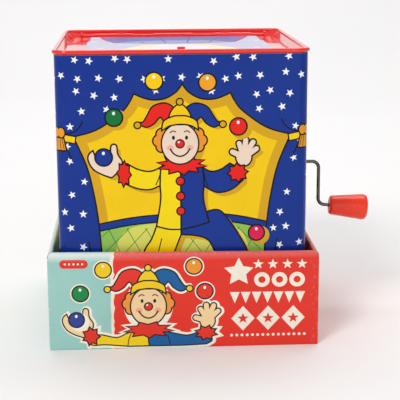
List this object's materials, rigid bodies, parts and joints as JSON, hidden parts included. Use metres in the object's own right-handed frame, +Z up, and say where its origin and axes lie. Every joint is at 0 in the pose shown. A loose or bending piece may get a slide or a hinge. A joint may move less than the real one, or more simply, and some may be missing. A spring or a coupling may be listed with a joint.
{
  "type": "jack in the box",
  "caption": "Tin musical jack in the box in an open cardboard tray: hinged lid, side crank with knob, comb movement and a sprung jester figure.",
  "frame": {"origin": "centre of the tray's flat underside, on the tin's upright axis", "axes": "+Z up, front of the toy towards -Y, crank on +X"},
  "size_m": [0.193, 0.1516, 0.1677],
  "materials": {
    "printed_card": "printed clay-coated board, satin varnish",
    "printed_tin": "lithographed tinplate, gloss varnish",
    "printed_lid": "lithographed tinplate, gloss varnish",
    "red_enamel": "gloss red enamel",
    "bare_tin": "bare tinplate",
    "plated_steel": "zinc-plated steel",
    "spring_steel": "drawn spring wire",
    "comb_steel": "ground spring steel",
    "turned_brass": "turned brass",
    "nylon": "natural nylon",
    "nylon_red": "red nylon",
    "crank_chrome": "bright nickel-plated wire",
    "knob_red": "gloss red-orange plastic",
    "card_disc": "grey-brown board",
    "suit_yellow": "woven cotton",
    "suit_blue": "woven cotton",
    "collar_white": "gathered cotton",
    "felt_red": "felt",
    "wool_red": "wool pompom",
    "wool_orange": "wool yarn",
    "face_vinyl": "moulded vinyl, satin",
    "hand_skin": "moulded vinyl, satin",
    "nose_red": "gloss plastic",
    "bell_brass": "bright brass"
  },
  "bodies": {
    "tray": {"display_tray": "printed_card"},
    "box": {"tin_body": "printed_tin", "tin_bottom": "bare_tin", "top_rim": "red_enamel", "hinge_pin": "plated_steel", "hinge_brackets": "red_enamel", "latch_brackets": "bare_tin", "latch_spring": "spring_steel", "crank_bushing": "nylon", "movement_plate_outer": "plated_steel", "movement_plate_inner": "plated_steel", "movement_posts": "turned_brass", "movement_rivets": "plated_steel", "comb_block": "turned_brass", "music_comb": "comb_steel", "comb_screws": "plated_steel", "spring_cup": "bare_tin", "figure_spring": "spring_steel", "costume_skirt": "suit_yellow"},
    "lid": {"lid_panel": "printed_lid", "lid_tab": "red_enamel", "lid_catch": "plated_steel", "lid_rivet": "plated_steel"},
    "figure": {"spring_disc": "card_disc", "costume_torso": "suit_yellow", "collar_ruff": "collar_white", "sleeve_left": "suit_yellow", "sleeve_right": "suit_blue", "hand_left": "hand_skin", "hand_right": "hand_skin", "pompoms": "wool_red", "head": "face_vinyl", "nose": "nose_red", "hair_tufts": "wool_orange", "hat_cap": "suit_yellow", "hat_horn_left": "felt_red", "hat_horn_right": "suit_blue", "hat_horn_front": "suit_yellow", "hat_bells": "bell_brass"},
    "crank": {"crank_rod": "crank_chrome", "crank_pinion": "nylon", "crank_clip": "plated_steel"},
    "knob": {"crank_knob": "knob_red"},
    "drum": {"drum_axle": "plated_steel", "drum_gear": "nylon", "music_drum": "nylon", "release_cam": "nylon_red"},
    "latch": {"latch_shaft": "plated_steel", "latch_hook": "bare_tin", "latch_follower": "bare_tin"}
  },
  "joints": [
    {"name": "toy_lift", "type": "slide", "parent": "tray", "child": "box", "axis": [0, 0, 1], "range_m": [0, 0.07]},
    {"name": "lid_hinge", "type": "hinge", "parent": "box", "child": "lid", "pos_m": [0, 0.0572, 0.1641], "axis": [-1, 0, 0], "range_deg": [0, 110]},
    {"name": "figure_rise", "type": "slide", "parent": "box", "child": "figure", "axis": [0, 0, 1], "range_m": [0, 0.106], "deforming": ["figure_spring", "costume_skirt"]},
    {"name": "crank_turn", "type": "hinge", "parent": "box", "child": "crank", "pos_m": [0, 0, 0.0912], "axis": [1, 0, 0], "continuous": true},
    {"name": "knob_spin", "type": "hinge", "parent": "crank", "child": "knob", "pos_m": [0.09327, 0, 0.06367], "axis": [0.9969, 0, -0.0785], "continuous": true},
    {"name": "drum_turn", "type": "hinge", "parent": "box", "child": "drum", "pos_m": [0, -0.0096, 0.10783], "axis": [1, 0, 0], "continuous": true},
    {"name": "latch_tip", "type": "hinge", "parent": "box", "child": "latch", "pos_m": [0, -0.058, 0.142], "axis": [1, 0, 0], "range_deg": [0, 8], "stiffness_Nm_per_rad": 0.01}
  ],
  "couplings": [
    {"joint": "drum_turn", "follows": "crank_turn", "ratio": -0.33333},
    {"joint": "figure_rise", "follows": "lid_hinge", "m_per_rad": 0.055}
  ]
}
